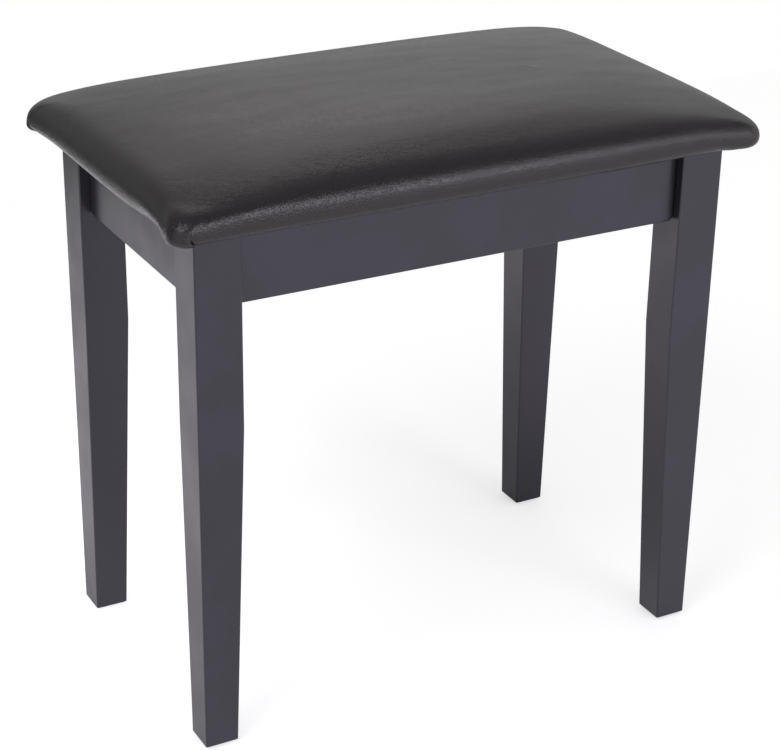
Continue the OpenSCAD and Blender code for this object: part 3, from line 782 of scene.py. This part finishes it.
# a mesh from rings of points; the last ring lies flat on itself, and its two sides are merged
def gridMesh(name, grid):
    rows, columns = grid.shape[:2]
    faces = []
    for i in range(rows - 1):
        for k in range(columns):
            n = (k + 1) % columns
            faces.append((i * columns + k, i * columns + n, (i + 1) * columns + n, (i + 1) * columns + k))
    mesh = bpy.data.meshes.new(name)
    mesh.from_pydata(grid.reshape(-1, 3).tolist(), [], faces)
    piece = bpy.data.objects.new(name, mesh)
    bpy.context.scene.collection.objects.link(piece)
    select(piece)
    bpy.ops.object.mode_set(mode="EDIT")
    bpy.ops.mesh.select_all(action="SELECT")
    bpy.ops.mesh.remove_doubles(threshold=mergeGap)
    bpy.ops.mesh.normals_make_consistent(inside=False)
    bpy.ops.mesh.select_all(action="DESELECT")
    bpy.ops.object.mode_set(mode="OBJECT")
    return piece


def select(piece):
    bpy.ops.object.select_all(action="DESELECT")
    piece.select_set(True)
    bpy.context.view_layer.objects.active = piece


# direction out of the surface at every point of the rings
def outwardOf(grid):
    along = np.roll(grid, -1, axis=1) - np.roll(grid, 1, axis=1)
    normal = np.cross(along, np.gradient(grid, axis=0))
    middle = len(grid) // 2
    normal *= np.sign(normal[middle, :, 2].sum())
    length = np.linalg.norm(normal, axis=2, keepdims=True)
    level = length < 1e-10
    return np.where(level, (0, 0, 1), normal / np.where(level, 1, length))


# cloth simulated for a number of frames and applied; a vertex group says how firmly points are held
def runCloth(piece, settings, frames, held, gravity=1.0):
    cloth = piece.modifiers.new("Cloth", "CLOTH")
    for key, value in settings.items():
        setattr(cloth.settings, key, value)
    cloth.settings.vertex_group_mass = held
    cloth.settings.effector_weights.gravity = gravity
    cloth.point_cache.frame_end = frames
    for number in range(1, frames + 1):
        bpy.context.scene.frame_set(number)
    bpy.ops.object.modifier_apply(modifier=cloth.name)
    bpy.context.scene.frame_set(1)


# the closed skin, blown up by cloth pressure on a coarse copy, and its movement carried to the rings
settleSet = {
    "start": 1.5 * mm,       # the skin starts this much too small
    "closing": 0.02,         # the opening between the flaps shrinks to this share before it is filled
    "voxel": 6 * mm,
    "cloth": {"quality": 8, "mass": 0.5, "use_pressure": True, "uniform_pressure_force": 4.0,
              "tension_stiffness": 60, "compression_stiffness": 60, "shear_stiffness": 60,
              "bending_stiffness": 40},
    "frames": 20,
    "freeAt": 1.3,           # held less and less up to here, counted in the height of its widest line
    "cap": 4 * mm,           # the furthest that a point may move
    "reach": 16 * mm,        # movements are averaged over this distance
}


def settle(grid):
    s = settleSet
    out = outwardOf(grid)
    small = grid - s["start"] * out
    closing = small[0] * (s["closing"], s["closing"], 1)
    skin = gridMesh("settlingSkin", np.concatenate([[closing], small]))
    bpy.ops.object.mode_set(mode="EDIT")
    bpy.ops.mesh.select_all(action="SELECT")
    bpy.ops.mesh.fill_holes(sides=0)
    bpy.ops.mesh.normals_make_consistent(inside=False)
    bpy.ops.object.mode_set(mode="OBJECT")
    remesh = skin.modifiers.new("Remesh", "REMESH")
    remesh.mode = "VOXEL"
    remesh.voxel_size = s["voxel"]
    bpy.ops.object.modifier_apply(modifier=remesh.name)
    start = np.array([v.co for v in skin.data.vertices])
    held = skin.vertex_groups.new(name="held")
    for v in skin.data.vertices:
        rise = (v.co.z - grid[:, :, 2].min()) / cushionSet["noseHeight"]
        held.add([v.index], min(1, max(0, s["freeAt"] - rise)), "REPLACE")
    runCloth(skin, s["cloth"], s["frames"], "held", gravity=0)
    moved = np.array([v.co for v in skin.data.vertices]) - start
    length = np.linalg.norm(moved, axis=1, keepdims=True)
    moved *= np.minimum(1, s["cap"] / np.maximum(length, 1e-9))
    tree = kdtree.KDTree(len(start))
    for i, point in enumerate(start):
        tree.insert(point, i)
    tree.balance()
    swell = np.zeros(grid.shape[:2])
    for place in np.ndindex(grid.shape[:2]):
        found = tree.find_range(small[place], s["reach"])
        weights = np.array([(1 - f[2] / s["reach"]) ** 2 for f in found])
        swell[place] = out[place] @ (weights @ moved[[f[1] for f in found]]) / weights.sum()
    print("cover settled: moved %.1f mm at most, swelled %.1f to %.1f mm"
          % (length.max() / mm, swell.min() / mm, swell.max() / mm))
    bpy.data.objects.remove(skin)
    swell -= swell.mean(axis=1, keepdims=True)     # each ring keeps its own average size
    return grid + swell[:, :, None] * out


# how the leatherette is gathered round each corner: rear right, rear left, front left, front right
tuckSet = {
    "pinch": (1.5 * mm, 2.0 * mm, 2.8 * mm, 1.0 * mm),   # beside the corner, the edge is pulled up
    "pinchIn": 0.55,                                     # and in, as a share of that
    "pinchPlace": -32 * mm,
    "pinchWidth": (46 * mm, 9 * mm),                     # away from the corner and towards it
    "pinchUnder": (4 * mm, 11.5 * mm),                   # insets between which it ends underneath
    "pinchFrom": 2 * mm,         # height from which it weakens, up to the widest line
    "lump": 1.2 * mm,            # the gathered cloth stands proud at the corner
    "lumpDrop": (1.0 * mm, 1.0 * mm, 0.0, -0.8 * mm),    # it hangs, or is drawn up, by this
    "lumpWidth": 10.5 * mm,
    "lumpEdge": (1 * mm, 16 * mm),                       # insets between which it ends on top
    "slitDepth": 3.0 * mm,       # the folded edge of the tuck
    "slitWidth": 0.85 * mm,
    "slitBack": 2.4 * mm,        # its top lies this far back from the tuck's place
    "slitSlant": 2.6 * mm,       # and its foot this far in front of its top
    "slitTop": 11.5 * mm,        # above the underside
    "slitUnder": (9 * mm, 14 * mm),
    "step": 0.6 * mm,            # the cloth in front of the slit stands proud of that behind it
    "stepWidth": 0.5 * mm,
    "stepReach": 6 * mm,
    "pleat": 0.8 * mm,           # overlapping folds under the corner
    "pleatPitch": 5.2 * mm,
    "pleatShape": (0.85, 0.15),  # shares of the pitch over which each rises and drops
    "pleatSpread": 15 * mm,
    "pleatUnder": (13.3 * mm, 19 * mm),                  # insets between which they end
}


def pinchCorners(grid, places, owners, inset, parts):
    t = tuckSet
    high = grid[:, :, 2] - grid[:, :, 2].min()
    fade = 1 - smooth(high, t["pinchFrom"], cushionSet["noseHeight"])
    fade = np.where(parts == "side", fade, 0)
    share = np.where(parts == "under", 1 - smooth(inset, *t["pinchUnder"]), fade)
    fromPinch = places - t["pinchPlace"]
    width = np.where(fromPinch < 0, *t["pinchWidth"])
    strength = np.array(t["pinch"])[owners] * np.exp(-(fromPinch / width) ** 2)
    lift = strength[None, :] * share
    flat = outwardOf(grid) * (1, 1, 0)
    flat /= np.maximum(np.linalg.norm(flat, axis=2, keepdims=True), 1e-9)
    grid = grid - flat * (t["pinchIn"] * lift * (parts == "side"))[:, :, None]
    grid[:, :, 2] += lift
    return grid


def tuckCorners(grid, places, owners, inset, parts):
    t = tuckSet
    out = outwardOf(grid)
    under, side = parts == "under", parts == "side"
    s = places[None, :]
    high = grid[:, :, 2] - grid[:, :, 2].min()
    body = np.where(under, 0, np.where(side, 1, 1 - smooth(inset, *t["lumpEdge"])))
    low = np.where(side, 1 - smooth(high, 0, t["slitTop"]), 0)
    low = np.where(under, 1 - smooth(inset, *t["slitUnder"]), low)
    lump = np.exp(-(s / t["lumpWidth"]) ** 4)
    middle = cushionSet["tuckPlace"] - t["slitBack"] + t["slitSlant"] * low
    slit = np.exp(-((s - middle) / t["slitWidth"]) ** 2) * np.sqrt(low)
    step = np.exp(-abs(s - middle) / t["stepReach"]) * np.clip((middle - s) / t["stepWidth"], -1, 1)
    step = step * np.sqrt(low)
    saw = (s / t["pleatPitch"]) % 1
    fold = np.minimum(saw / t["pleatShape"][0], (1 - saw) / t["pleatShape"][1])
    fold = fold * np.exp(-(s / t["pleatSpread"]) ** 4) * under * (1 - smooth(inset, *t["pleatUnder"]))
    move = t["lump"] * lump * body - t["slitDepth"] * slit + t["step"] * step * ~under + t["pleat"] * fold
    grid = grid + out * move[:, :, None]
    drop = np.array(t["lumpDrop"])[owners]
    grid[:, :, 2] -= drop * lump * np.where(side, 1 - smooth(high, 0, cushionSet["noseHeight"]), 0)
    return grid


# foam slab with the board let into its underside
foamPadSet = {
    "behind": 1.3 * mm,          # below the cover's face
    "tuckRoom": 3.6 * mm,        # room for the tuck's folded edge
    "tuckWidth": 6 * mm,
    "tuckEdge": (2 * mm, 14 * mm),     # insets between which that room ends on top
    "pocketGap": 0.3 * mm,       # round the board
    "pocketRadius": 22 * mm,
    "rings": {"roof": 6, "wall": 4},
    "sharp": 50,                 # an edge of more degrees than this stays sharp
}


def makeFoam(grid, places, inset, parts):
    f = foamPadSet
    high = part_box("seat_board")[1]
    first = np.argmax(parts == "side")
    room = np.exp(-((places[None, :] - cushionSet["tuckPlace"]) / f["tuckWidth"]) ** 2)
    fade = np.where(parts == "edge", 1 - smooth(inset, *f["tuckEdge"]), 1)
    room = room * np.where(parts == "top", 0, fade)
    out = np.where((parts == "top")[:, :, None], (0, 0, 1), outwardOf(grid))
    shell = (grid - (f["behind"] + f["tuckRoom"] * room)[:, :, None] * out)[first:, ::2]
    half = Vector((high.x + f["pocketGap"], high.y + f["pocketGap"]))
    arc = roundArc()
    steps = [straightSteps(run) for run in outline()[1]]
    roof = high.z + f["pocketGap"]
    counts = f["rings"]
    levels = [(half.y * k / counts["roof"], roof) for k in range(counts["roof"], 0, -1)]
    drop = shell[0, 0, 2] - roof
    levels += [(0, roof + drop * k / counts["wall"]) for k in range(counts["wall"] + 1)]
    pocket = []
    for drawnIn, level in levels:
        ring = ringPath(half, drawnIn, f["pocketRadius"], arc, *steps)[::2]
        pocket.append(np.concatenate([ring, np.full((len(ring), 1), level)], 1))
    pocket[-1][:, 2] = shell[0, :, 2]
    foam = gridMesh("foamPad", np.concatenate([pocket, shell]))
    bpy.ops.object.shade_smooth_by_angle(angle=math.radians(f["sharp"]))
    foam.data.materials.append(foamRubber())
    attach(foam, "root")
    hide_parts("seat_foam")
    print("foam shaped")


def makeCover(grid):
    cover = gridMesh("cushionCover", grid)
    bpy.ops.object.shade_smooth()
    cover.data.materials.append(leatherette())
    cover.data.materials.append(knitBacking())
    wall = cover.modifiers.new("wall", "SOLIDIFY")
    wall.thickness = cushionSet["wall"]
    wall.offset = -1
    wall.material_offset = 1
    wall.material_offset_rim = 1
    bpy.ops.object.modifier_apply(modifier=wall.name)
    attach(cover, "root")
    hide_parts("seat_cover")
    print("cushion covered")


def makeCushion():
    grid, places, owners, inset, parts = cushionGrid()
    grid = pinchCorners(settle(grid), places, owners, inset, parts)
    makeFoam(grid, places, inset, parts)
    makeCover(tuckCorners(grid, places, owners, inset, parts))


makeCushion()


# black spunbond sheet stapled across the underside; it hangs a little between the battens
dustSet = {
    "pitch": 7 * mm,
    "thickness": 0.3 * mm,
    "opening": (213 * mm, 94 * mm),     # half size of the hole that nothing carries it over
    "corner": (199 * mm, 100 * mm),     # where a leg stands in a corner of that hole
    "deepest": 1.5 * mm,                # it hangs no lower than this
    "cloth": {"mass": 0.05, "tension_stiffness": 5, "compression_stiffness": 5},
    "frames": 20,
}


def makeDustSheet():
    d = dustSet
    low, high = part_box("dust_cover")
    wide, deep = high.x - low.x, high.y - low.y
    bpy.ops.object.select_all(action="DESELECT")
    columns, rows = round(wide / d["pitch"]), round(deep / d["pitch"])
    bpy.ops.mesh.primitive_grid_add(x_subdivisions=columns, y_subdivisions=rows, size=1, location=(0, 0, 0))
    sheet = bpy.context.object
    sheet.name = "dustSheet"
    bpy.ops.object.mode_set(mode="EDIT")
    bpy.ops.transform.resize(value=(wide, deep, 1))
    bpy.ops.transform.translate(value=(0, 0, (low.z + high.z) / 2))
    bpy.ops.object.mode_set(mode="OBJECT")
    carried = sheet.vertex_groups.new(name="carried")
    for v in sheet.data.vertices:
        x, y = abs(v.co.x), abs(v.co.y)
        onLeg = x > d["corner"][0] and y > d["corner"][1]
        if x > d["opening"][0] or y > d["opening"][1] or onLeg:
            carried.add([v.index], 1, "REPLACE")
    flat = [v.co.z for v in sheet.data.vertices]
    runCloth(sheet, d["cloth"], d["frames"], "carried")
    sags = [flat[i] - v.co.z for i, v in enumerate(sheet.data.vertices)]
    scale = min(1, d["deepest"] / max(max(sags), 1e-6))
    for i, v in enumerate(sheet.data.vertices):
        v.co.z = flat[i] - scale * sags[i]
    print("dust sheet hung: sagged %.2f mm, kept %.2f mm" % (max(sags) / mm, scale * max(sags) / mm))
    bpy.ops.object.shade_smooth()
    wall = sheet.modifiers.new("wall", "SOLIDIFY")
    wall.thickness = d["thickness"]
    wall.offset = 0
    bpy.ops.object.modifier_apply(modifier=wall.name)
    sheet.data.materials.append(spunbond())
    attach(sheet, "root")
    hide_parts("dust_cover")


makeDustSheet()
